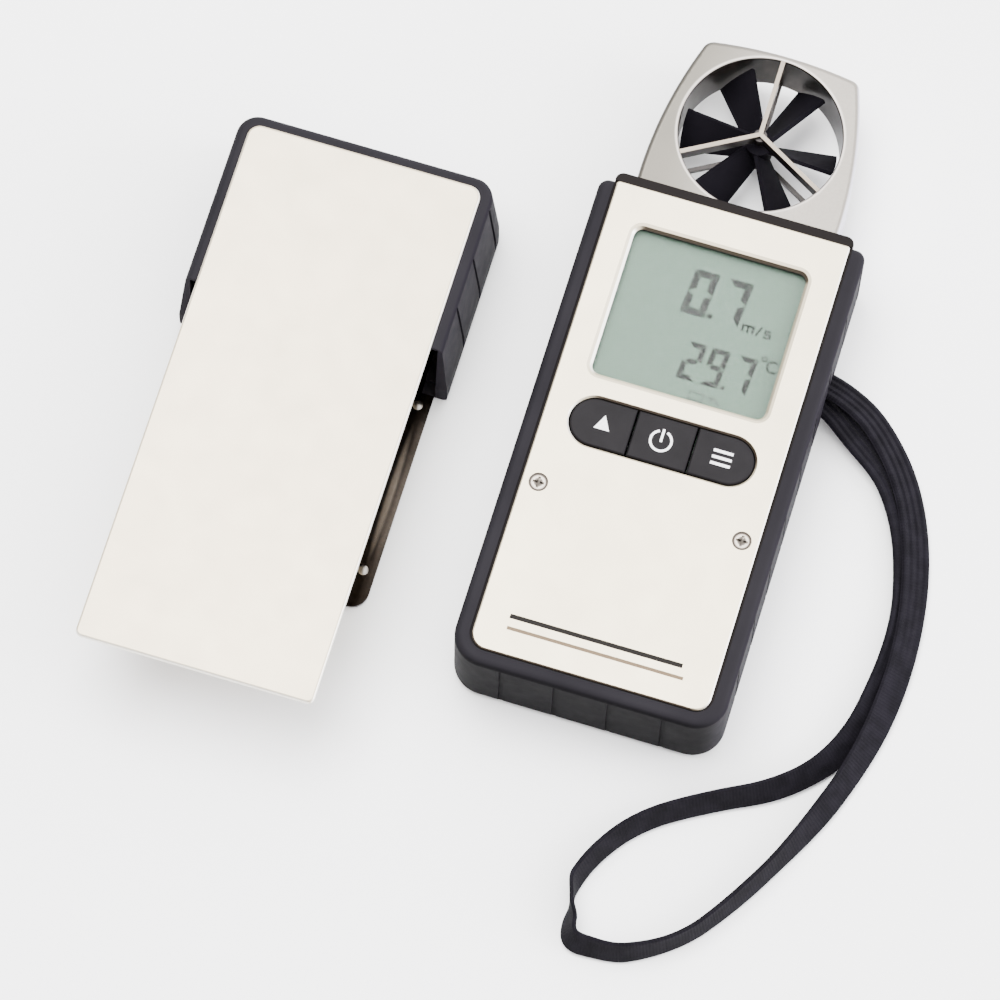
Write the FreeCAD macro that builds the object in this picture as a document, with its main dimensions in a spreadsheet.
"""Pocket vane anemometer with a slip-off cover and a wrist strap.

Millimetres. The origin is the centre of the meter's flat back, which rests on the table:
+X to the right of the display, +Y towards the vane head, +Z out of the front plate.
The cover is off, and lies on the same table to the left of the meter.
"""
import FreeCAD, Part
import math
import os
import Sketcher
from FreeCAD import Placement, Rotation, Vector

DIMENSIONS = {
    # case
    "case_width": 47.0, "case_bottom": -46.0, "band_end": 43.6, "case_depth": 18.0, "band_wall": 2.5,
    "band_depth": 17.5, "band_corner": 5.6, "band_edge": 1.3, "band_end_round": 1.8, "band_back_edge": 2.0,
    "split_level": 9.0, "shell_top_end": 45.1, "shell_wall": 1.6, "shell_front": 17.2, "cap_level": 17.7,
    "notch_pitch": 9.3, "notch_width": 0.8, "notch_depth": 0.3, "side_notch_first": 40.4,
    # front plate
    "plate_width": 41.0, "plate_length": 86.7, "plate_thick": 0.8, "plate_corner": 2.8,
    "plate_top_corner": 0.5, "plate_bevel": 0.2,
    # display
    "window_width": 30.2, "window_length": 27.4, "window_mid": 22.6, "window_corner": 1.5,
    "window_bevel": 0.65, "key_bevel": 0.3, "gasket_thick": 0.4, "lens_thick": 0.8, "lens_margin": 1.4,
    "panel_thick": 1.5, "panel_margin": 0.4, "strip_width": 1.6, "strip_height": 1.5, "strip_length": 26.0,
    # board
    "board_width": 29.6, "board_low": -38.0, "board_high": 38.0, "board_level": 11.6, "board_thick": 1.2,
    # keys
    "key_row": 0.3, "key_row_width": 31.8, "key_row_height": 8.4, "key_split": 5.25, "key_gap": 0.3,
    "key_top": 18.0, "key_skirt": 0.7, "key_skirt_thick": 1.3, "key_travel": 0.4,
    "dome_radius": 2.2, "dome_height": 0.9,
    # screws
    "screw_x": 17.65, "screw_y": -12.7, "screw_head": 1.6, "screw_shank": 0.8, "screw_end": 4.0,
    "rear_screw_x": 17.6, "rear_screw_y": 34.0, "rear_screw_end": 13.0, "boss_radius": 2.1,
    # battery
    "cell_y": -22.0, "cell_radius": 10.0, "cell_thick": 3.2, "cell_level": 2.7, "door_radius": 11.9,
    "door_thick": 1.5, "door_gap": 0.3, "door_lug_reach": 0.9, "door_lug_thick": 0.7, "well_wall": 1.3,
    # vane head
    "head_back": 3.6, "head_front": 14.0, "duct_y": 60.4, "duct_radius": 14.08, "head_root": 39.0,
    "head_root_half": 17.9, "head_shoulder_y": 46.0, "head_top_half": 12.15, "head_top_y": 74.9,
    "head_side_radius": 80.0, "head_crown_radius": 78.0, "head_corner": 2.2, "head_edge": 0.9,
    "arm_width": 0.75, "front_arm_depth": 2.6, "rear_arm_depth": 0.8, "rear_hub_depth": 1.4, "arm_bite": 0.15,
    "front_hub_radius": 1.15, "rear_hub_radius": 2.2, "jewel_radius": 0.8, "jewel_bore": 0.35,
    # rotor
    "rotor_mid": 8.0, "rotor_hub_radius": 2.4, "rotor_hub_height": 4.6, "rotor_radius": 13.55,
    "blade_count": 6, "blade_phase": 2.4, "blade_thick": 0.7, "blade_root": 1.9, "blade_root_chord": 4.9,
    "blade_root_pitch": 58.0, "blade_tip": 14.3, "blade_tip_chord": 8.2, "blade_tip_pitch": 45.0,
    "shaft_radius": 0.5, "pivot_radius": 0.3, "magnet_radius": 1.5, "magnet_height": 1.0,
    # strap
    "strap_width": 4.6, "strap_thick": 0.8, "strap_level": 0.8, "strap_pin_x": 20.2, "strap_pin_y": 22.3,
    "strap_pin_radius": 0.7, "strap_tab_half": 1.9, "strap_tab_end": 22.5,
    "strap_slot_low": 18.6, "strap_slot_high": 25.8, "strap_slot_deep": 17.9,
    # cover, as it lies beside the meter
    "cover_x": -62.22, "cover_width": 47.8, "sleeve_low": 2.9, "sleeve_high": 37.6, "sleeve_wall": 2.1,
    "sleeve_draft": 5.3, "sleeve_straight": 4.6, "sleeve_lip": 0.65,
    "sleeve_end_wall": 2.2, "sleeve_corner": 5.0, "sleeve_edge": 1.5, "cover_plate_width": 41.2,
    "cover_front_low": -61.5, "cover_front_high": 34.3, "cover_back_width": 43.2, "cover_back_low": -37.4,
    "cover_plate_thick": 0.8, "cover_depth": 20.2, "cover_front_corner": 2.2, "cover_back_corner": 3.0,
    "sleeve_set_back": 0.4, "rivet_round": 1.5, "rivet_height": 0.3, "rivet_inset": 2.2,
    "rivet_high_y": 0.6, "rivet_low_y": -30.5,
}

doc = FreeCAD.newDocument("anemometer")
dims = doc.addObject("Spreadsheet::Sheet", "dims")
for row, (alias, number) in enumerate(DIMENSIONS.items(), start=1):
    dims.set("A%d" % row, alias)
    dims.set("B%d" % row, str(number))
    dims.setAlias("B%d" % row, alias)
doc.recompute()
nodes = []


def value(formula):
    """The number that a formula over the sheet gives now."""
    result = dims.evalExpression(str(formula))
    return float(getattr(result, "Value", result))


def bind(thing, prop, formula):
    thing.setExpression(prop, str(formula))


def node(thing, name):
    """Name a finished sub-part: its label is its file's name."""
    thing.Label = name
    nodes.append(thing)
    return thing


# ---------------------------------------------------------------- sketches and part design

def body(name):
    return doc.addObject("PartDesign::Body", name + "_body")


def sketch(owner, name, level="0", plane="XY_Plane", at=("0", "0")):
    made = owner.newObject("Sketcher::SketchObject", name)
    base = [one for one in owner.Origin.OriginFeatures if one.Role == plane][0]
    made.AttachmentSupport = [(base, "")]
    made.MapMode = "FlatFace"
    for axis, formula in zip("xyz", (at[0], at[1], level)):
        bind(made, "AttachmentOffset.Base." + axis, formula)
    return made


def pin_point(made, shape, end, x, y):
    for kind, formula in (("DistanceX", x), ("DistanceY", y)):
        number = made.addConstraint(Sketcher.Constraint(kind, -1, 1, shape, end, value(formula)))
        bind(made, "Constraints[%d]" % number, formula)


def outline(made, steps):
    """Closed outline. A step is (x, y), a straight side to that corner, or (x, y, radius), an arc
    that ends there and turns left where the radius is positive, right where it is negative."""
    flat = Vector(0, 0, 1)
    spots = [Vector(value(step[0]), value(step[1]), 0) for step in steps]
    ends = []
    for number, step in enumerate(steps):
        start, stop = spots[number - 1], spots[number]
        if len(step) == 2:
            shape = made.addGeometry(Part.LineSegment(start, stop))
            ends.append((shape, 1, 2))
            continue
        radius = value(step[2])
        chord = stop - start
        rise = math.sqrt(max(radius ** 2 - (chord.Length / 2) ** 2, 0))
        left = flat.cross(chord).normalize()
        centre = (start + stop) / 2 + left * math.copysign(rise, radius)
        first, last = (start, stop) if radius > 0 else (stop, start)
        angles = [math.atan2(spot.y - centre.y, spot.x - centre.x) for spot in (first, last)]
        if angles[1] <= angles[0]:
            angles[1] += 2 * math.pi
        circle = Part.Circle(centre, flat, abs(radius))
        shape = made.addGeometry(Part.ArcOfCircle(circle, angles[0], angles[1]))
        number = made.addConstraint(Sketcher.Constraint("Radius", shape, abs(radius)))
        bind(made, "Constraints[%d]" % number, "abs(%s)" % step[2])
        ends.append((shape, 1, 2) if radius > 0 else (shape, 2, 1))
    for number, (shape, start, stop) in enumerate(ends):
        after, after_start, _ = ends[(number + 1) % len(ends)]
        made.addConstraint(Sketcher.Constraint("Coincident", shape, stop, after, after_start))
        pin_point(made, shape, stop, steps[number][0], steps[number][1])


def circle(made, x, y, radius):
    spot = Vector(value(x), value(y), 0)
    shape = made.addGeometry(Part.Circle(spot, Vector(0, 0, 1), value(radius)))
    number = made.addConstraint(Sketcher.Constraint("Radius", shape, value(radius)))
    bind(made, "Constraints[%d]" % number, radius)
    pin_point(made, shape, 3, x, y)


def rounded(x0, y0, x1, y1, low="0", high=None):
    """Steps of a rectangle from (x0, y0) to (x1, y1) with corner radii low and high (in y)."""
    high = low if high is None else high
    return [
        ("%s - (%s)" % (x1, low), y0), (x1, "%s + (%s)" % (y0, low), low),
        (x1, "%s - (%s)" % (y1, high)), ("%s - (%s)" % (x1, high), y1, high),
        ("%s + (%s)" % (x0, high), y1), (x0, "%s - (%s)" % (y1, high), high),
        (x0, "%s + (%s)" % (y0, low)), ("%s + (%s)" % (x0, low), y0, low)]


def square(x0, y0, x1, y1):
    return [(x1, y0), (x1, y1), (x0, y1), (x0, y0)]


def arch(reach, low, high, corner):
    """Steps of a rectangle about the Y axis with square low corners and round high ones."""
    shoulder, inset = "%s - %s" % (high, corner), "(%s - %s)" % (reach, corner)
    return [(reach, low), (reach, shoulder), (inset, high, corner), ("-" + inset, high),
            ("-" + reach, shoulder, corner), ("-" + reach, low)]


def pad(owner, name, draw, level, height, **where):
    """Pad what draw(sketch) draws at a level, upwards by a height."""
    made = sketch(owner, name + "_sketch", level, **where)
    draw(made)
    feature = owner.newObject("PartDesign::Pad", name)
    feature.Profile = made
    bind(feature, "Length", height)
    made.Visibility = False
    return feature


def pocket(owner, name, draw, level, depth, **where):
    """Cut what draw(sketch) draws at a level, downwards by a depth, and see that it cuts."""
    doc.recompute()
    before = owner.Shape.Volume
    made = sketch(owner, name + "_sketch", level, **where)
    draw(made)
    feature = owner.newObject("PartDesign::Pocket", name)
    feature.Profile = made
    bind(feature, "Length", depth)
    doc.recompute()
    if owner.Shape.Volume >= before - 1e-6:
        raise RuntimeError(name + " cuts nothing")
    return feature


def edges(owner, test):
    """Names of the edges whose every tested point passes."""
    doc.recompute()
    found = []
    for number, edge in enumerate(owner.Shape.Edges, start=1):
        middle = edge.valueAt((edge.FirstParameter + edge.LastParameter) / 2)
        points = [vertex.Point for vertex in edge.Vertexes] + [middle]
        if all(test(point) for point in points):
            found.append("Edge%d" % number)
    if not found:
        raise RuntimeError("no edge found on " + owner.Name)
    return found


def ease(owner, name, kind, size, test):
    """Fillet or Chamfer the edges that pass a test."""
    names = edges(owner, test)
    tip = owner.Tip
    feature = owner.newObject("PartDesign::" + kind, name)
    feature.Base = (tip, names)
    bind(feature, "Radius" if kind == "Fillet" else "Size", size)
    doc.recompute()
    return feature


def near(a, b):
    return abs(a - b) < 1e-4


# ---------------------------------------------------------------- primitives

def solid(kind, name, at=("0", "0", "0"), **sizes):
    made = doc.addObject("Part::" + kind, name)
    for prop, formula in sizes.items():
        bind(made, prop, formula)
    for axis, formula in zip("xyz", at):
        bind(made, "Placement.Base." + axis, formula)
    return made


def block(name, x0, y0, z0, x1, y1, z1):
    return solid("Box", name, (x0, y0, z0), Length="(%s) - (%s)" % (x1, x0),
                 Width="(%s) - (%s)" % (y1, y0), Height="(%s) - (%s)" % (z1, z0))


def rod(name, x, y, z0, z1, radius):
    return solid("Cylinder", name, (x, y, z0), Radius=radius, Height="(%s) - (%s)" % (z1, z0))


def cut(name, base, *tools):
    made = base
    for number, tool in enumerate(tools):
        step = doc.addObject("Part::Cut", "%s_%d" % (name, number))
        step.Base, step.Tool = made, tool
        made = step
    return made


def fuse(name, *shapes):
    made = doc.addObject("Part::MultiFuse", name)
    made.Shapes = list(shapes)
    return made


def group(name, *shapes):
    """Separate solids in one node."""
    made = doc.addObject("Part::Compound", name)
    made.Links = list(shapes)
    return made


# ---------------------------------------------------------------- case

HALF = "dims.case_width/2"
SHELL = "(dims.case_width/2 - dims.band_wall)"
SHELL_LOW = "(dims.case_bottom + dims.band_wall)"
WINDOW_LOW = "(dims.window_mid - dims.window_length/2)"
WINDOW_HIGH = "(dims.window_mid + dims.window_length/2)"
WELL = "(dims.door_radius + dims.door_gap + dims.door_lug_reach)"
PLATE_BACK = "(dims.case_depth - dims.plate_thick)"


def screw_circles(made, radius, x="dims.screw_x", y="dims.screw_y"):
    for side in ("", "-"):
        circle(made, side + x, y, radius)


def shell_outline(made):
    outline(made, rounded("-" + SHELL, SHELL_LOW, SHELL, "dims.shell_top_end", "3.2", "1.8"))


def window_outline(made, margin="0"):
    reach = "(dims.window_width/2 + %s)" % margin
    outline(made, rounded("-" + reach, "%s - (%s)" % (WINDOW_LOW, margin), reach,
                          "%s + (%s)" % (WINDOW_HIGH, margin), "dims.window_corner"))


def key_row_outline(made, margin):
    reach = "(dims.key_row_width/2 + %s)" % margin
    rise = "(dims.key_row_height/2 + %s)" % margin
    low, high = "dims.key_row - " + rise, "dims.key_row + " + rise
    straight = "(%s - %s)" % (reach, rise)
    bow = "(%s * 1.0001)" % rise
    outline(made, [(straight, low), (reach, "dims.key_row", bow), (straight, high, bow),
                   ("-" + straight, high), ("-" + reach, "dims.key_row", bow), ("-" + straight, low, bow)])


def make_bumper():
    """Rubber band round both sides and the bottom, with grip notches."""
    owner = body("rubber_bumper")
    outer, inner = "dims.band_corner", "(dims.band_corner - dims.band_wall)"
    low, end = "dims.case_bottom", "dims.band_end"
    steps = [
        ("%s - %s" % (HALF, outer), low), (HALF, "%s + %s" % (low, outer), outer),
        (HALF, end + " - dims.band_end_round"),
        (HALF + " - dims.band_end_round", end, "dims.band_end_round"), (SHELL, end),
        (SHELL, "%s + %s" % (SHELL_LOW, inner)), ("%s - %s" % (SHELL, inner), SHELL_LOW, "-" + inner),
        ("-(%s - %s)" % (SHELL, inner), SHELL_LOW), ("-" + SHELL, "%s + %s" % (SHELL_LOW, inner), "-" + inner),
        ("-" + SHELL, end), ("-(%s - dims.band_end_round)" % HALF, end),
        ("-" + HALF, end + " - dims.band_end_round", "dims.band_end_round"),
        ("-" + HALF, "%s + %s" % (low, outer)),
        ("-(%s - %s)" % (HALF, outer), low, outer)]
    pad(owner, "band", lambda made: outline(made, steps), "0", "dims.band_depth")
    half, bottom, top = value(HALF), value(low), value("dims.band_depth")
    corner = value(outer)

    def outside(point):
        x, y = abs(point.x), point.y
        if y > bottom + corner:
            return near(x, half)
        if x < half - corner:
            return near(y, bottom)
        return near(math.hypot(x - half + corner, y - bottom - corner), corner)

    ease(owner, "front_edge", "Fillet", "dims.band_edge", lambda p: near(p.z, top) and outside(p))
    ease(owner, "back_edge", "Fillet", "dims.band_back_edge", lambda p: near(p.z, 0) and outside(p))

    def side_notches(made):
        for step in range(9):
            y = "(dims.side_notch_first - %d*dims.notch_pitch)" % step
            for sign in ("", "-"):
                a = "%s(%s - dims.notch_depth)" % (sign, HALF)
                b = "%s(%s + 1)" % (sign, HALF)
                outline(made, square(a, y + " - dims.notch_width/2", b, y + " + dims.notch_width/2"))

    def bottom_notches(made):
        for step in (-1.5, -0.5, 0.5, 1.5):
            x = "(%s*dims.notch_pitch)" % step
            outline(made, square(x + " - dims.notch_width/2", low + " - 1",
                                 x + " + dims.notch_width/2", low + " + dims.notch_depth"))

    groove_top, groove_height = "dims.band_depth - 1.2", "dims.band_depth - 2.0"
    pocket(owner, "side_grooves", side_notches, groove_top, groove_height)
    pocket(owner, "bottom_grooves", bottom_notches, groove_top, groove_height)
    pocket(owner, "strap_way", lambda made: outline(made, square(
        SHELL + " - 1", "dims.strap_slot_low", HALF + " + 1", "dims.strap_slot_high")),
        "dims.strap_level + dims.strap_width + 0.2", "dims.strap_width + 0.3")
    node(owner, "rubber_bumper")


def make_front_plate():
    owner = body("front_plate")
    reach, length = "dims.plate_width/2", "dims.plate_length/2"
    pad(owner, "sheet", lambda made: outline(made, rounded(
        "-" + reach, "-" + length, reach, length, "dims.plate_corner", "dims.plate_top_corner")),
        PLATE_BACK, "dims.plate_thick")
    pocket(owner, "window", window_outline, "dims.case_depth", "dims.plate_thick")
    pocket(owner, "key_row", lambda made: key_row_outline(made, "0.25"), "dims.case_depth", "dims.plate_thick")
    pocket(owner, "screw_holes", lambda made: screw_circles(made, "dims.screw_head + 0.05"),
           "dims.case_depth", "dims.plate_thick")
    top = value("dims.case_depth")
    x_reach, y_reach = value(reach), value(length)
    frame = (value("dims.window_width/2") + 0.01, value(WINDOW_LOW) - 0.01, value(WINDOW_HIGH) + 0.01)

    def rim(point):
        edge = value("dims.plate_corner")
        return near(point.z, top) and (abs(point.x) > x_reach - edge or abs(point.y) > y_reach - edge)

    def mouth(point):
        return near(point.z, top) and abs(point.x) < frame[0] and frame[1] < point.y < frame[2]

    ease(owner, "rim_bevel", "Chamfer", "dims.plate_bevel", rim)
    ease(owner, "window_slope", "Chamfer", "dims.window_bevel", mouth)
    row, rise, reach = (value("dims." + name) for name in ("key_row", "key_row_height", "key_row_width"))

    def key_mouth(point):
        return near(point.z, top) and abs(point.y - row) < rise and abs(point.x) < reach / 2 + 1

    ease(owner, "key_slope", "Chamfer", "dims.key_bevel", key_mouth)
    node(owner, "front_plate")


def neck_mouth(made):
    """The way through the shells' top wall for the vane head's root."""
    reach = "(dims.head_root_half + 0.1)"
    outline(made, square("-" + reach, "dims.band_end - 0.4", reach, "dims.shell_top_end + 1"))


def make_front_shell():
    owner = body("front_shell")
    inner = "(%s - dims.shell_wall)" % SHELL
    front = "dims.shell_front"
    depth = "(dims.shell_front - dims.split_level)"
    pad(owner, "block", shell_outline, "dims.split_level", depth)
    pocket(owner, "room", lambda made: outline(made, square(
        "-" + inner, SHELL_LOW + " + dims.shell_wall", inner, "dims.band_end")),
        front + " - 1.4", depth + " - 1.4")
    pad(owner, "bosses", lambda made: screw_circles(made, "dims.boss_radius"),
        "dims.split_level", depth + " - 0.5")
    pad(owner, "rear_bosses", lambda made: screw_circles(
        made, "dims.boss_radius", "dims.rear_screw_x", "dims.rear_screw_y"), "dims.split_level", "5")
    pocket(owner, "window_seat", lambda made: window_outline(made, "dims.lens_margin"), front, "1.5")
    pocket(owner, "key_way", lambda made: key_row_outline(made, "0.25"), front, "1.5")
    pocket(owner, "neck", neck_mouth, "dims.head_front + 0.1", "dims.head_front + 0.1 - dims.split_level")
    pocket(owner, "screw_bores", lambda made: screw_circles(made, "dims.screw_head + 0.05"), front, depth)
    pocket(owner, "rear_bores", lambda made: screw_circles(
        made, "dims.screw_shank", "dims.rear_screw_x", "dims.rear_screw_y"),
        "dims.rear_screw_end + 0.2", "dims.rear_screw_end + 0.2 - dims.split_level")
    cap = pad(owner, "top_cap", lambda made: outline(made, rounded(
        "-" + SHELL, "dims.plate_length/2 + 0.1", SHELL, "dims.shell_top_end", "0.2", "1.4")),
        front, "dims.cap_level - " + front)
    cap.Refine = True
    node(owner, "front_shell")


def make_rear_shell():
    owner = body("rear_shell")
    inner = "(%s - dims.shell_wall)" % SHELL
    split = "dims.split_level"
    pad(owner, "block", shell_outline, "0", split)
    pocket(owner, "room", lambda made: outline(made, square(
        "-" + inner, SHELL_LOW + " + dims.shell_wall", inner, "dims.band_end - 0.4")),
        split, split + " - dims.shell_wall")
    pad(owner, "bosses", lambda made: screw_circles(made, "dims.boss_radius"), "1", split + " - 1")
    pad(owner, "rear_bosses", lambda made: screw_circles(
        made, "dims.boss_radius + 0.5", "dims.rear_screw_x", "dims.rear_screw_y"), "1", split + " - 1")
    pad(owner, "well", lambda made: circle(made, "0", "dims.cell_y", WELL + " + dims.well_wall"),
        "1", "dims.cell_level + dims.cell_thick - 1")
    pad(owner, "strap_block", lambda made: outline(made, square(
        "dims.strap_slot_deep - 1.2", "dims.strap_slot_low - 2", inner + " + 0.5",
        "dims.strap_slot_high + 2")), "1", "dims.strap_level + dims.strap_width + 1.2")
    pocket(owner, "well_room", lambda made: circle(made, "0", "dims.cell_y", WELL),
           "dims.cell_level + dims.cell_thick",
           "dims.cell_level + dims.cell_thick - dims.door_thick - 0.05")
    pocket(owner, "door_way", lambda made: circle(made, "0", "dims.cell_y", "dims.door_radius + dims.door_gap"),
           "dims.door_thick + 0.2", "dims.door_thick + 0.2")
    for side in (1, -1):
        angle = math.radians(60 if side > 0 else 240)
        x = "((%s - 1.2)*%.4f)" % (WELL, math.cos(angle))
        y = "(dims.cell_y + (%s - 1.2)*%.4f)" % (WELL, math.sin(angle))
        pocket(owner, "lug_way_%s" % ("a" if side > 0 else "b"),
               lambda made, x=x, y=y: circle(made, x, y, "3.0"), "dims.door_thick + 0.2",
               "dims.door_thick + 0.2")
    pocket(owner, "neck", neck_mouth, split, split + " - (dims.head_back - 0.1)")
    pocket(owner, "screw_bores", lambda made: screw_circles(made, "dims.screw_shank"), split,
           split + " - dims.screw_end + 0.2")
    pocket(owner, "rear_bores", lambda made: screw_circles(
        made, "dims.screw_shank + 0.1", "dims.rear_screw_x", "dims.rear_screw_y"), split, split)
    pocket(owner, "rear_heads", lambda made: screw_circles(
        made, "dims.screw_head + 0.1", "dims.rear_screw_x", "dims.rear_screw_y"), "1.5", "1.5")
    pocket(owner, "strap_slot", lambda made: outline(made, square(
        "dims.strap_slot_deep", "dims.strap_slot_low", SHELL + " + 1", "dims.strap_slot_high")),
        "dims.strap_level + dims.strap_width + 0.2", "dims.strap_width + 0.3")
    pocket(owner, "strap_pin_bore", lambda made: circle(
        made, "dims.strap_pin_x", "dims.strap_pin_y", "dims.strap_pin_radius"),
        "dims.strap_level + dims.strap_width + 1.2", "dims.strap_width + 1.6")
    node(owner, "rear_shell")


# ---------------------------------------------------------------- display and board

def make_display():
    """Gasket, clear lens, liquid crystal panel and its two rubber connector strips."""
    window_top = PLATE_BACK
    gasket = body("lcd_gasket")
    thick = "dims.gasket_thick"
    pad(gasket, "frame", lambda made: window_outline(made, "dims.lens_margin - 0.1"),
        window_top + " - " + thick, thick)
    pocket(gasket, "gasket_mouth", window_outline, window_top, thick)
    node(gasket, "lcd_gasket")
    lens = body("lcd_window")
    pad(lens, "lens", lambda made: window_outline(made, "dims.lens_margin - 0.1"),
        "%s - %s - dims.lens_thick" % (window_top, thick), "dims.lens_thick")
    node(lens, "lcd_window")
    panel = body("lcd_panel")
    pad(panel, "glass", lambda made: window_outline(made, "dims.panel_margin"),
        "dims.board_level + dims.board_thick + dims.strip_height", "dims.panel_thick")
    node(panel, "lcd_panel")
    strips = []
    base = "(dims.board_level + dims.board_thick)"
    for name, edge in (("low", WINDOW_LOW + " + 0.2"), ("high", WINDOW_HIGH + " - 0.2 - dims.strip_width")):
        strips.append(block("strip_" + name, "-dims.strip_length/2", edge, base, "dims.strip_length/2",
                            edge + " + dims.strip_width", base + " + dims.strip_height"))
    node(group("lcd_connectors_all", *strips), "lcd_connectors")


def make_board():
    owner = body("main_board")
    reach = "dims.board_width/2"
    pad(owner, "laminate", lambda made: outline(made, square(
        "-" + reach, "dims.board_low", reach, "dims.board_high")), "dims.board_level", "dims.board_thick")
    node(owner, "main_board")
    top = "(dims.board_level + dims.board_thick)"
    node(block("mcu", "-3.5", "-24", top, "3.5", "-17", top + " + 1"), "controller_chip")
    node(block("crystal", "6.5", "-26", top, "9.5", "-18.5", top + " + 1"), "clock_crystal")
    domes = []
    for number, x in enumerate(("-10.7", "0", "10.7")):
        dome = body("dome_%d" % number)
        pad(dome, "dome", lambda made, x=x: circle(made, x, "dims.key_row", "dims.dome_radius"),
            top, "dims.dome_height")
        rise = value(top + " + dims.dome_height")
        ease(dome, "crown", "Fillet", "dims.dome_height*0.7", lambda p: near(p.z, rise))
        domes.append(dome)
    node(group("dome_switches_all", *domes), "dome_switches")


def key_outline(made, left, right, margin="0"):
    """One key of the row: square at a divider, round at the row's own end."""
    rise = "(dims.key_row_height/2 + %s)" % margin
    low, high = "dims.key_row - " + rise, "dims.key_row + " + rise
    reach = "(dims.key_row_width/2 + %s)" % margin
    bow = "(%s * 1.0001)" % rise
    steps = []
    if right is None:
        steps += [("%s - %s" % (reach, rise), low), (reach, "dims.key_row", bow),
                  ("%s - %s" % (reach, rise), high, bow)]
    else:
        steps += [(right, low), (right, high)]
    if left is None:
        steps += [("-(%s - %s)" % (reach, rise), high), ("-" + reach, "dims.key_row", bow),
                  ("-(%s - %s)" % (reach, rise), low, bow)]
    else:
        steps += [(left, high), (left, low)]
    outline(made, steps)


def make_keys():
    inner, outer = "(dims.key_split - dims.key_gap/2)", "(dims.key_split + dims.key_gap/2)"
    spans = {"key_up": (None, "-" + outer, "-10.7"), "key_power": ("-" + inner, inner, "0"),
             "key_mode": (outer, None, "10.7")}
    skirt_top = "(dims.shell_front - 1.4 - 0.15)"
    stem_low = "(dims.board_level + dims.board_thick + dims.dome_height + dims.key_travel + 0.05)"
    for name, (left, right, middle) in spans.items():
        owner = body(name)
        pad(owner, "skirt", lambda made, a=left, b=right: key_outline(made, a, b, "dims.key_skirt"),
            skirt_top + " - dims.key_skirt_thick", "dims.key_skirt_thick")
        pad(owner, "cap", lambda made, a=left, b=right: key_outline(made, a, b),
            skirt_top, "dims.key_top - " + skirt_top)
        pad(owner, "stem", lambda made, x=middle: circle(made, x, "dims.key_row", "1.2"),
            stem_low, skirt_top + " - 1 - " + stem_low)
        top = value("dims.key_top")
        ease(owner, "edge", "Fillet", "0.35", lambda p: near(p.z, top))
        node(owner, name)


# ---------------------------------------------------------------- fasteners and battery

def cross_recess(name, x, y, top, depth):
    """Two crossed slots, the driver's recess."""
    long, wide = "1.0", "0.22"
    return fuse(name,
                block(name + "_a", x + " - " + long, y + " - " + wide, "(%s) - %s" % (top, depth),
                      x + " + " + long, y + " + " + wide, "(%s) + 1" % top),
                block(name + "_b", x + " - " + wide, y + " - " + long, "(%s) - %s" % (top, depth),
                      x + " + " + wide, y + " + " + long, "(%s) + 1" % top))


def make_screws():
    front, rear = [], []
    for side, sign in (("right", ""), ("left", "-")):
        x, y = sign + "dims.screw_x", "dims.screw_y"
        top = "(dims.case_depth - 0.15)"
        head = rod("front_head_" + side, x, y, top + " - 1.2", top, "dims.screw_head")
        shank = rod("front_shank_" + side, x, y, "dims.screw_end", top + " - 1", "dims.screw_shank - 0.02")
        whole = fuse("front_screw_" + side, head, shank)
        front.append(cut("front_screw_cut_" + side, whole, cross_recess("recess_" + side, x, y, top, "0.6")))
        x, y = sign + "dims.rear_screw_x", "dims.rear_screw_y"
        head = rod("rear_head_" + side, x, y, "0.2", "1.5", "dims.screw_head")
        shank = rod("rear_shank_" + side, x, y, "1.2", "dims.rear_screw_end", "dims.screw_shank - 0.02")
        whole = fuse("rear_screw_" + side, head, shank)
        slot = fuse("rear_recess_" + side,
                    block("rear_slot_a_" + side, x + " - 1", y + " - 0.22", "-1",
                          x + " + 1", y + " + 0.22", "0.8"),
                    block("rear_slot_b_" + side, x + " - 0.22", y + " - 1", "-1",
                          x + " + 0.22", y + " + 1", "0.8"))
        rear.append(cut("rear_screw_cut_" + side, whole, slot))
    node(group("front_screws_all", *front), "front_screws")
    node(group("rear_screws_all", *rear), "rear_screws")


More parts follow.
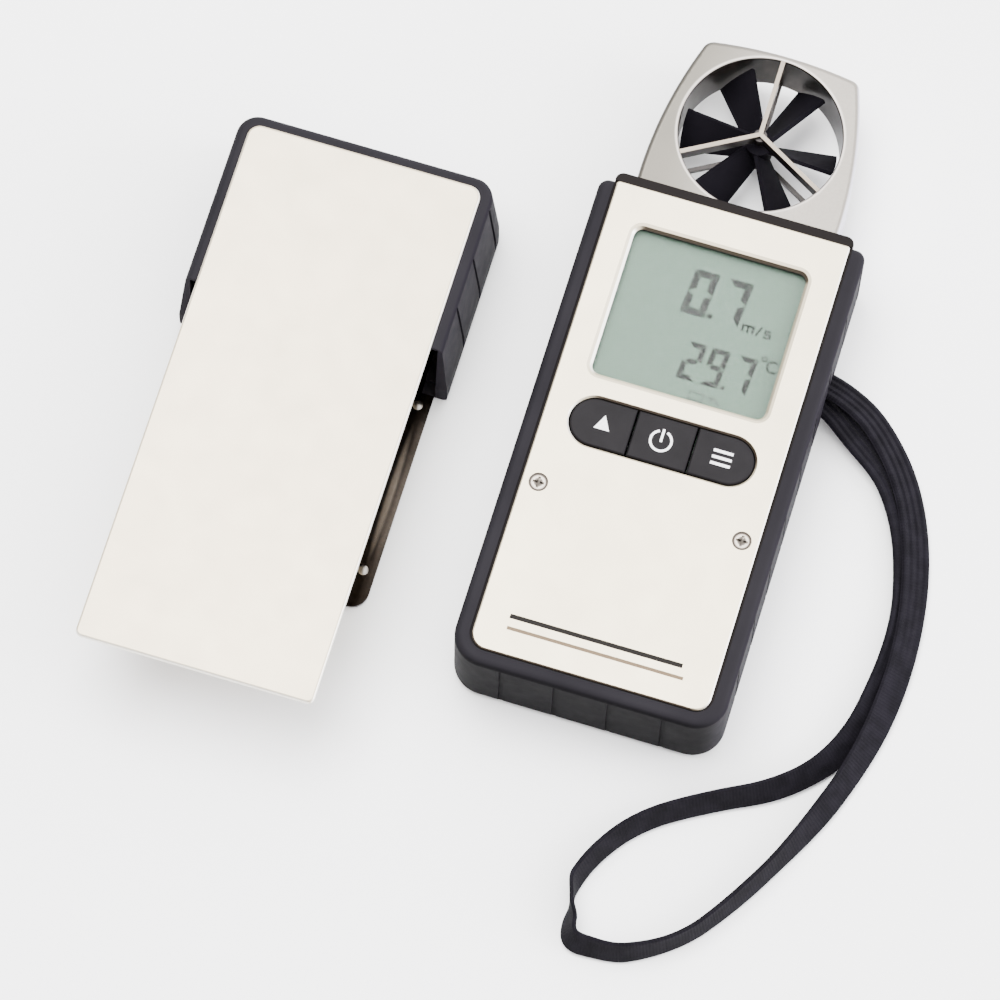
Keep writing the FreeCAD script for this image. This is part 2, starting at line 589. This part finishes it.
def make_battery():
    y = "dims.cell_y"
    cell = body("coin_cell")
    cell_top = "(dims.cell_level + dims.cell_thick)"
    pad(cell, "can", lambda made: circle(made, "0", y, "dims.cell_radius"), "dims.cell_level + 0.5",
        "dims.cell_thick - 0.5")
    pad(cell, "cap", lambda made: circle(made, "0", y, "dims.cell_radius - 1.2"), "dims.cell_level", "0.6")
    node(cell, "coin_cell")

    door = body("battery_door")
    pad(door, "disc", lambda made: circle(made, "0", y, "dims.door_radius"), "0.05", "dims.door_thick + 0.05")
    lug = "(dims.door_radius + dims.door_lug_reach - 0.15)"
    pad(door, "lugs", lambda made: outline(made, rounded(
        "-" + lug, y + " - 2.2", lug, y + " + 2.2", "0.6")), "dims.door_thick + 0.1", "dims.door_lug_thick")
    pocket(door, "coin_slot", lambda made: outline(made, rounded(
        "-7.5", y + " - 0.9", "7.5", y + " + 0.9", "0.85")), "1", "1.2")
    node(door, "battery_door")

    seal = solid("Torus", "seal_ring", ("0", y, "dims.door_thick + 1.35"), Radius1="dims.door_radius - 1",
                 Radius2="0.5")
    node(seal, "battery_seal")

    strip = "0.3"
    minus = fuse("minus_all",
                 block("minus_leaf", "-3", y + " - 8", cell_top + " + 0.25", "3", y + " + 8",
                       cell_top + " + 0.25 + " + strip),
                 block("minus_leg", "-1.5", y + " + 7.7", cell_top + " + 0.25", "1.5", y + " + 8",
                       "dims.board_level"))
    node(minus, "battery_contact_top")
    plus = fuse("plus_all",
                block("plus_clip", "dims.cell_radius + 0.25", y + " - 2", "dims.cell_level + 1",
                      "dims.cell_radius + 0.55", y + " + 2", "dims.board_level"),
                block("plus_foot", "dims.cell_radius - 1.6", y + " - 2", "dims.board_level - " + strip,
                      "dims.cell_radius + 0.55", y + " + 2", "dims.board_level"))
    node(plus, "battery_contact_side")


# ---------------------------------------------------------------- vane head

def head_outline(made):
    root, shoulder = "dims.head_root_half", "dims.head_shoulder_y"
    top, high = "dims.head_top_half", "dims.head_top_y"
    side_x, side_y = "(%s + 1.75)" % top, "(%s - 1.3)" % high
    side, corner = "dims.head_side_radius", "dims.head_corner"
    outline(made, [
        (root, "dims.head_root"), (root, shoulder), (side_x, side_y, side), (top, high, corner),
        ("-" + top, high, "dims.head_crown_radius"), ("-" + side_x, side_y, corner),
        ("-" + root, shoulder, side), ("-" + root, "dims.head_root")])


def make_head():
    owner = body("vane_housing")
    back, front = "dims.head_back", "dims.head_front"
    depth = "(%s - %s)" % (front, back)
    pad(owner, "slab", head_outline, back, depth)
    low, high, root = value(back), value(front), value("dims.head_shoulder_y")
    ease(owner, "outer_edge", "Fillet", "dims.head_edge",
         lambda p: (near(p.z, low) or near(p.z, high)) and p.y > root - 0.01)
    pocket(owner, "duct", lambda made: circle(made, "0", "dims.duct_y", "dims.duct_radius"), front, depth)
    duct = value("dims.duct_radius")
    middle = value("dims.duct_y")
    ease(owner, "mouth", "Fillet", "0.35",
         lambda p: (near(p.z, low) or near(p.z, high)) and near(math.hypot(p.x, p.y - middle), duct))
    pocket(owner, "sensor_room", lambda made: outline(made, square("-3", "dims.head_root - 1", "3", "44.6")),
           "dims.rotor_mid + 1.6", "3.2")
    node(owner, "vane_housing")


def spider(name, level, depth, hub_radius, hub_level, hub_depth, bore_level, bore_depth):
    """Three thin arms and a hub that holds a jewel, in the duct."""
    owner = body(name)
    where = {"at": ("0", "dims.duct_y")}
    pad(owner, "hub", lambda made: circle(made, "0", "0", hub_radius), hub_level, hub_depth, **where)
    arm = pad(owner, "arm", lambda made: outline(made, square(
        "-dims.arm_width/2", "0", "dims.arm_width/2", "dims.duct_radius + dims.arm_bite")),
        level, depth, **where)
    doc.recompute()
    turn = owner.newObject("PartDesign::PolarPattern", name + "_arms")
    turn.Originals = [arm]
    turn.Axis = (arm.Profile[0], ["N_Axis"])
    turn.Angle = 360
    turn.Occurrences = 3
    owner.Tip = turn
    doc.recompute()
    pocket(owner, name + "_bore", lambda made: circle(made, "0", "0", "dims.jewel_radius"),
           bore_level, bore_depth, **where)
    node(owner, name)


def jewel(name, low, high, mouth_is_low):
    """A cup: blind bore that faces the rotor."""
    cup = rod(name + "_cup", "0", "dims.duct_y", low, high, "dims.jewel_radius")
    start = "(%s) - 1" % low if mouth_is_low else "(%s) + 0.3" % low
    stop = "(%s) - 0.3" % high if mouth_is_low else "(%s) + 1" % high
    node(cut(name + "_cut", cup, rod(name + "_hole", "0", "dims.duct_y", start, stop, "dims.jewel_bore")), name)


ROTOR_LOW = "(dims.rotor_mid - dims.rotor_hub_height/2)"
ROTOR_HIGH = "(dims.rotor_mid + dims.rotor_hub_height/2)"


def make_vane_bearings():
    front = "dims.head_front"
    arm_low = "(%s - dims.front_arm_depth)" % front
    spider("front_spider", arm_low, "dims.front_arm_depth", "dims.front_hub_radius",
           arm_low, "1.9", arm_low + " + 1.4", "1.4")
    jewel("front_jewel", arm_low, arm_low + " + 1.4", True)
    back = "(dims.head_back + 0.1)"
    rear_top = "(%s + dims.rear_hub_depth)" % back
    spider("rear_spider", back, "dims.rear_arm_depth", "dims.rear_hub_radius",
           back, "dims.rear_hub_depth", rear_top, "1.2")
    jewel("rear_jewel", rear_top + " - 1.2", rear_top, False)


def blade_section(made, chord):
    outline(made, square("-%s/2" % chord, "-dims.blade_thick/2", chord + "/2", "dims.blade_thick/2"))


def make_rotor():
    owner = body("rotor")
    pad(owner, "hub", lambda made: circle(made, "0", "0", "dims.rotor_hub_radius"),
        "-dims.rotor_hub_height/2", "dims.rotor_hub_height")
    sections = []
    for end in ("root", "tip"):
        made = sketch(owner, "blade_" + end, "dims.blade_" + end, "XZ_Plane")
        made.AttachmentOffset = Placement(made.AttachmentOffset.Base, Rotation(Vector(0, 0, 1), 1))
        bind(made, "AttachmentOffset.Rotation.Angle", "-dims.blade_%s_pitch" % end)
        blade_section(made, "dims.blade_%s_chord" % end)
        sections.append(made)
    doc.recompute()
    blade = owner.newObject("PartDesign::AdditiveLoft", "blade")
    blade.Profile = sections[0]
    blade.Sections = [sections[1]]
    doc.recompute()
    fan = owner.newObject("PartDesign::PolarPattern", "blades")
    fan.Originals = [blade]
    fan.Axis = ([one for one in owner.Origin.OriginFeatures if one.Role == "Z_Axis"][0], [""])
    fan.Angle = 360
    bind(fan, "Occurrences", "dims.blade_count")
    owner.Tip = fan

    def beyond_tips(made):
        circle(made, "0", "0", "dims.blade_tip + 5")
        circle(made, "0", "0", "dims.rotor_radius")

    pocket(owner, "tip_trim", beyond_tips, "dims.rotor_hub_height", "2*dims.rotor_hub_height")
    pocket(owner, "shaft_bore", lambda made: circle(made, "0", "0", "dims.shaft_radius"),
           "dims.rotor_hub_height", "2*dims.rotor_hub_height")
    pocket(owner, "magnet_seat", lambda made: circle(made, "0", "0", "dims.magnet_radius"),
           "dims.magnet_height - dims.rotor_hub_height/2", "dims.magnet_height")
    # a sketch on the XZ plane reaches along -Y, a quarter turn behind +X
    owner.Placement = Placement(Vector(0, 0, 0), Rotation(Vector(0, 0, 1), 1))
    bind(owner, "Placement.Base.y", "dims.duct_y")
    bind(owner, "Placement.Base.z", "dims.rotor_mid")
    bind(owner, "Placement.Rotation.Angle", "90 + dims.blade_phase")
    node(owner, "rotor")

    low = ROTOR_LOW + " - 0.2"
    high = ROTOR_HIGH + " + 0.35"
    shaft = rod("shaft_bar", "0", "dims.duct_y", low, high, "dims.shaft_radius")
    pivots = rod("shaft_pivots", "0", "dims.duct_y", "dims.head_back + 0.8",
                 "dims.head_front - dims.front_arm_depth + 0.9", "dims.pivot_radius")
    node(fuse("shaft_all", shaft, pivots), "rotor_shaft")
    ring = rod("magnet_disc", "0", "dims.duct_y", ROTOR_LOW, ROTOR_LOW + " + dims.magnet_height",
               "dims.magnet_radius")
    hole = rod("magnet_hole", "0", "dims.duct_y", ROTOR_LOW + " - 1", ROTOR_LOW + " + 3", "dims.shaft_radius")
    node(cut("magnet_ring", ring, hole), "rotor_magnet")


def make_sensors():
    """The pickup that counts the rotor's turns, the temperature bead, and the ribbon to the board."""
    mid = "dims.rotor_mid"
    node(block("pickup", "-2.6", "41.4", mid + " - 1.3", "0.4", "44.4", mid + " + 1.3"), "pickup_sensor")
    node(rod("bead", "1.8", "43.2", mid + " - 1.3", mid + " + 1.3", "0.9"), "temperature_sensor")
    tail = fuse("ribbon_all",
                block("ribbon_flat", "-2.4", "35", mid + " - 0.1", "2.4", "41.3", mid + " + 0.15"),
                block("ribbon_rise", "-2.4", "35", mid + " - 0.1", "2.4", "35.25", "dims.board_level"))
    node(tail, "sensor_ribbon")


# ---------------------------------------------------------------- wrist strap

STRAP_ROUTE = [
    (22.8, 23.6), (27.0, 22.7), (33.4, 19.6), (40.2, 12.0), (45.0, 2.0), (47.9, -10.0), (48.7, -23.0),
    (47.0, -37.0), (42.2, -51.6), (34.4, -67.0), (25.4, -79.4), (16.6, -84.4), (6.6, -84.6),
    (6.2, -74.6), (8.6, -67.4), (14.2, -60.0), (24.0, -53.2), (35.2, -47.6), (43.0, -39.0),
    (46.3, -27.0), (46.2, -13.0), (43.0, -0.4), (37.2, 9.2), (30.2, 15.6), (25.4, 19.4), (22.8, 21.0)]
ARC_SHARE = 0.45


def route_spans(route):
    """Straight runs joined by tangent arcs, each arc as large as its two runs allow.
    A span is (start, end) or (start, end, centre, radius, turn)."""
    points = [Vector(x, y, 0) for x, y in route]
    spans, here = [], points[0]
    for before, corner, after in zip(points, points[1:], points[2:]):
        inward, outward = corner - before, after - corner
        turn = math.atan2(inward.cross(outward).z, inward.dot(outward))
        reach = ARC_SHARE * min(inward.Length, outward.Length)
        radius = reach / math.tan(abs(turn) / 2)
        start = corner - inward.normalize() * reach
        stop = corner + outward.normalize() * reach
        side = Vector(-inward.y, inward.x, 0) * math.copysign(radius, turn)
        spans.append((here, start))
        spans.append((start, stop, start + side, radius, turn))
        here = stop
    spans.append((here, points[-1]))
    return spans


def side_edges(spans, offset):
    """The line that runs beside the spans, offset to the left."""
    found = []
    for span in spans:
        start, stop = span[0], span[1]
        if len(span) == 2:
            along = (stop - start).normalize()
            left = Vector(-along.y, along.x, 0) * offset
            found.append(Part.LineSegment(start + left, stop + left).toShape())
            continue
        centre, radius, turn = span[2:]
        scale = (radius - math.copysign(1, turn) * offset) / radius
        first, last = centre + (start - centre) * scale, centre + (stop - centre) * scale
        middle = centre + Rotation(Vector(0, 0, 1), math.degrees(turn / 2)).multVec(first - centre)
        found.append(Part.Arc(first, middle, last).toShape())
    return found


def make_strap():
    pin = rod("strap_pin_bar", "dims.strap_pin_x", "dims.strap_pin_y", "dims.strap_level - 0.4",
              "dims.strap_level + dims.strap_width + 1.1", "dims.strap_pin_radius - 0.02")
    node(pin, "strap_pin")
    tab = body("strap_tab")
    half, x, y = "dims.strap_tab_half", "dims.strap_pin_x", "dims.strap_pin_y"
    high = "dims.strap_level + dims.strap_width"

    def tab_outline(made):
        low_side, high_side, bow = "%s - %s" % (y, half), "%s + %s" % (y, half), half + "*1.0001"
        outline(made, [("dims.strap_tab_end", low_side), ("dims.strap_tab_end", high_side), (x, high_side),
                       ("%s - %s" % (x, half), y, bow), (x, low_side, bow)])

    pad(tab, "fold", tab_outline, "dims.strap_level", "dims.strap_width")
    pocket(tab, "fold_eye", lambda made: circle(made, x, y, "dims.strap_pin_radius + 0.05"), high,
           "dims.strap_width")
    node(tab, "strap_tab")

    spans = route_spans(STRAP_ROUTE)
    half_thick = value("dims.strap_thick") / 2
    left, right = side_edges(spans, half_thick), side_edges(spans, -half_thick)
    ends = [Part.LineSegment(left[0].Vertexes[0].Point, right[0].Vertexes[0].Point).toShape(),
            Part.LineSegment(left[-1].Vertexes[-1].Point, right[-1].Vertexes[-1].Point).toShape()]
    rim = Part.Wire(Part.__sortEdges__(left + right + ends))
    width = value("dims.strap_width")
    ribbon = doc.addObject("Part::Feature", "ribbon")
    ribbon.Shape = Part.Face(rim).extrude(Vector(0, 0, width))
    ribbon.Placement = Placement(Vector(0, 0, value("dims.strap_level")), Rotation())
    length = sum((stop - start).Length if not rest else rest[1] * abs(rest[2])
                 for start, stop, *rest in spans)
    section = width * value("dims.strap_thick")
    print("strap radii:", " ".join("%.1f" % span[3] for span in spans if len(span) > 2))
    print("strap length %.1f mm, volume over section times length %.4f"
          % (length, ribbon.Shape.Volume / (section * length)))
    node(ribbon, "wrist_strap")


# ---------------------------------------------------------------- cover

def cover_plate(name, width, low, high, level, corner_low, corner_high):
    owner = body(name)
    reach = width + "/2"
    pad(owner, "sheet", lambda made: outline(made, rounded(
        "-" + reach, low, reach, high, corner_low, corner_high)), level, "dims.cover_plate_thick")
    return owner


def make_cover():
    """A rubber sleeve, closed at the head's end, between a long front plate and a short back plate."""
    depth, thick, base = "dims.cover_depth", "dims.cover_plate_thick", "dims.sleeve_set_back"
    half, wall = "dims.cover_width/2", "dims.sleeve_wall"
    low, high, corner = "dims.sleeve_low", "dims.sleeve_high", "dims.sleeve_corner"
    sleeve = body("cover_sleeve")
    crown, bend = "(%s - %s)" % (depth, base), "(%s + dims.sleeve_straight)" % base
    steps = [
        (half, low), (half, "%s - %s" % (high, corner)), ("%s - %s" % (half, corner), high, corner),
        ("-(%s - %s)" % (half, corner), high), ("-" + half, "%s - %s" % (high, corner), corner),
        ("-" + half, low)]
    pad(sleeve, "skirt", lambda made: outline(made, steps), base, "dims.sleeve_straight")
    slope = pad(sleeve, "slope", lambda made: outline(made, steps), bend, "%s - %s" % (crown, bend))
    bind(slope, "TaperAngle", "-dims.sleeve_draft")
    bottom, top = value(base), value(crown)
    width, end, round_corner = value(half), value(high), value(corner)
    lean = math.tan(math.radians(value("dims.sleeve_draft"))) * (top - value(bend))

    def rim(point, inset):
        x, y = abs(point.x), point.y
        if y < end - round_corner:
            return near(x, width - inset)
        if x < width - round_corner:
            return near(y, end - inset)
        return near(math.hypot(x - width + round_corner, y - end + round_corner), round_corner - inset)

    ease(sleeve, "front_edge", "Fillet", "dims.sleeve_edge", lambda p: near(p.z, top) and rim(p, lean))
    ease(sleeve, "back_edge", "Fillet", "1.0", lambda p: near(p.z, bottom) and rim(p, 0))
    inner, inner_top = "(%s - %s)" % (half, wall), "(%s - dims.sleeve_end_wall)" % high
    start = "(%s - 5)" % low

    def opening(name, steps, level, height):
        pocket(sleeve, name, lambda made: outline(made, steps), level, height)

    opening("room", arch(inner, start, inner_top, "2.2"), crown + " - 1.4",
            crown + " - 1.4 - (%s + 1.4)" % base)
    opening("mouth", square("-" + inner, start, inner, low + " + 2.2"), crown + " - dims.sleeve_lip",
            crown + " - dims.sleeve_lip - %s - 0.05" % thick)
    opening("way_through",
            arch("(dims.cover_plate_width/2 - 1.2)", start, "(dims.cover_front_high - 1.2)", "1.0"),
            depth, depth)
    seat_top = "(dims.cover_front_high + 0.05)"
    opening("front_seat", arch("(dims.cover_plate_width/2 + 0.05)", start, seat_top, "dims.cover_front_corner"),
            depth, thick)
    opening("back_seat", arch("(dims.cover_back_width/2 + 0.05)", start, seat_top, "dims.cover_back_corner"),
            thick, thick)

    draft, groove_low, groove_high = "tan(dims.sleeve_draft*1deg)", base + " + 0.8", crown + " - 1.2"
    deep = "(%s - dims.notch_depth)" % half
    high_deep = "(%s - %s*(%s - %s))" % (deep, draft, groove_high, bend)

    def grooves(made):
        for sign in ("", "-"):
            outline(made, [(sign + deep, groove_low), (sign + "(%s + 1)" % half, groove_low),
                           (sign + "(%s + 1)" % half, groove_high), (sign + high_deep, groove_high),
                           (sign + deep, bend)])

    for step in range(3):
        pocket(sleeve, "side_groove_%d" % step, grooves,
               "-(%s + 9.7 - dims.notch_width/2 + %d*dims.notch_pitch)" % (low, step),
               "dims.notch_width", plane="XZ_Plane")
    node(sleeve, "cover_sleeve")

    front = cover_plate("cover_front_plate", "dims.cover_plate_width", "dims.cover_front_low",
                        "dims.cover_front_high", depth + " - " + thick, "1.2", "dims.cover_front_corner")
    top_face = value(depth)
    ease(front, "rolled_edge", "Fillet", "0.45", lambda p: near(p.z, top_face))
    node(front, "cover_front_plate")
    back = cover_plate("cover_back_plate", "dims.cover_back_width", "dims.cover_back_low",
                       "dims.cover_front_high", "0", "dims.cover_back_corner", "dims.cover_back_corner")
    ease(back, "back_rolled_edge", "Fillet", "0.35", lambda p: near(p.z, 0))
    node(back, "cover_back_plate")

    rivets = []
    reach = "(dims.cover_back_width/2 - dims.rivet_inset)"
    for row, y in (("high", "dims.rivet_high_y"), ("low", "dims.rivet_low_y")):
        for side, sign in (("right", ""), ("left", "-")):
            stud = solid("Sphere", "stud_%s_%s" % (row, side),
                         (sign + reach, y, thick + " + dims.rivet_height - dims.rivet_round"),
                         Radius="dims.rivet_round")
            rivets.append(cut("stud_cut_%s_%s" % (row, side), stud,
                              block("stud_clip_%s_%s" % (row, side), "-30", "-60", "-5", "30", "60", thick)))
    node(group("cover_studs_all", *rivets), "cover_studs")
    for part in nodes[-4:]:
        bind(part, "Placement.Base.x", "dims.cover_x")


def export():
    """Check every object, then write one STEP file for each node."""
    doc.recompute()
    broken = [thing.Name for thing in doc.Objects if {"Invalid", "Error"} & set(thing.State)]
    if broken:
        raise RuntimeError("failed objects: " + ", ".join(broken))
    for part in nodes:
        if part.Shape.isNull() or not part.Shape.isValid() or not part.Shape.Solids:
            raise RuntimeError("bad shape: " + part.Label)
    os.makedirs("parts", exist_ok=True)
    for part in nodes:
        part.Shape.exportStep("parts/%s.step" % part.Label)
    print(len(nodes), "nodes written")


make_bumper()
make_front_plate()
make_front_shell()
make_rear_shell()
make_display()
make_board()
make_keys()
make_screws()
make_battery()
make_head()
make_vane_bearings()
make_rotor()
make_sensors()
make_strap()
make_cover()
export()
